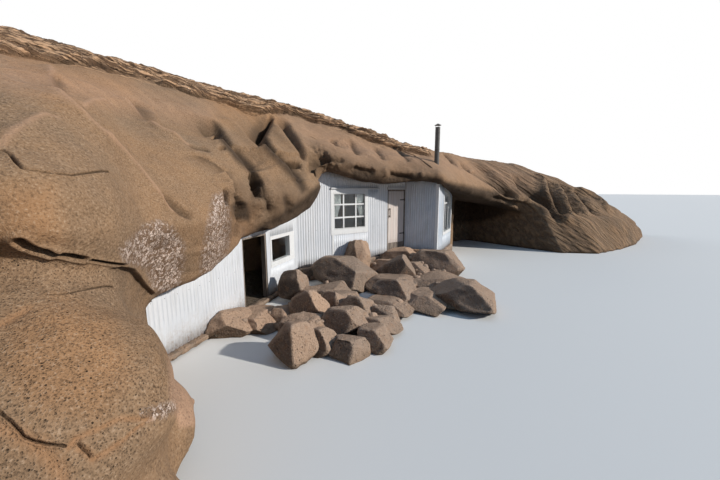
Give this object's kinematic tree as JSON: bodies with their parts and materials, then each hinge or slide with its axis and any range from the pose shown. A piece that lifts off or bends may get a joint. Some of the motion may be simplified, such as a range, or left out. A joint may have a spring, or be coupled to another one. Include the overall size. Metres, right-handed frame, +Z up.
{
  "type": "cave dwelling",
  "caption": "Dwelling and barn cut into a rock outcrop, closed by a timber front in white corrugated sheet with windows, an opening door and a stove pipe.",
  "frame": {"origin": "foot of the corner between the barn wall and the house wall, on the lowest ground", "axes": "+X along the house wall to the right as seen from the front, +Y into the rock, +Z up"},
  "size_m": [26.7, 14.3085, 6.344],
  "materials": {
    "rock": "weathered, wind-smoothed tuff",
    "boulder_stone": "rough basalt",
    "footing_stone": "rough",
    "earth": "trodden earth",
    "floor_boards": "worn",
    "wall_sheet": "weathered white paint on corrugated sheet",
    "curtain_cloth": "thin white cloth",
    "wall_boards": "bare sawn boards",
    "white_wood": "white paint",
    "weathered_wood": "bare, weathered",
    "door_planks": "worn pale paint",
    "window_glass": "clear",
    "iron": "dark",
    "pipe_steel": "matt black, sooty"
  },
  "bodies": {
    "dwelling": {"rock_left_buttress": "rock", "rock_roof_barn": "rock", "rock_roof_house": "rock", "rock_roof_wing": "rock", "rock_roof_hollow": "rock", "rock_back_barn": "rock", "rock_back_house": "rock", "rock_back_hollow": "rock", "rock_right_flank": "rock", "rock_right_toe": "rock", "rock_floor_house": "rock", "rock_pier": "rock", "boulder_bank": "boulder_stone", "barn_footing": "footing_stone", "house_footing": "footing_stone", "wing_footing": "footing_stone", "barn_floor": "earth", "house_floor": "floor_boards", "barn_cladding": "wall_sheet", "house_cladding": "wall_sheet", "wing_cladding": "wall_sheet", "window_curtains": "curtain_cloth", "barn_wall_left": "wall_boards", "barn_wall_over_door": "wall_boards", "barn_wall_right": "wall_boards", "house_wall": "wall_boards", "house_wall_over_door": "wall_boards", "wing_side_wall": "wall_boards", "wing_front_wall": "wall_boards", "barn_window_frame": "white_wood", "house_window_frame": "white_wood", "wing_window_frame": "white_wood", "corner_board": "white_wood", "window_drip_board": "weathered_wood", "door_header": "weathered_wood", "barn_door_frame": "weathered_wood", "door_frame": "weathered_wood", "barn_window_glass": "window_glass", "house_window_glass": "window_glass", "wing_window_glass": "window_glass", "door_hinge_plates": "iron", "stove_pipe": "pipe_steel", "pipe_cap": "pipe_steel"},
    "house_door": {"house_door": "door_planks", "door_hinge_straps": "iron", "door_handle": "iron"}
  },
  "joints": [
    {"name": "house_door_hinge", "type": "hinge", "parent": "dwelling", "child": "house_door", "pos_m": [4.0275, -0.0063, 1.6], "axis": [0, 0, 1], "range_deg": [0, 95]}
  ]
}
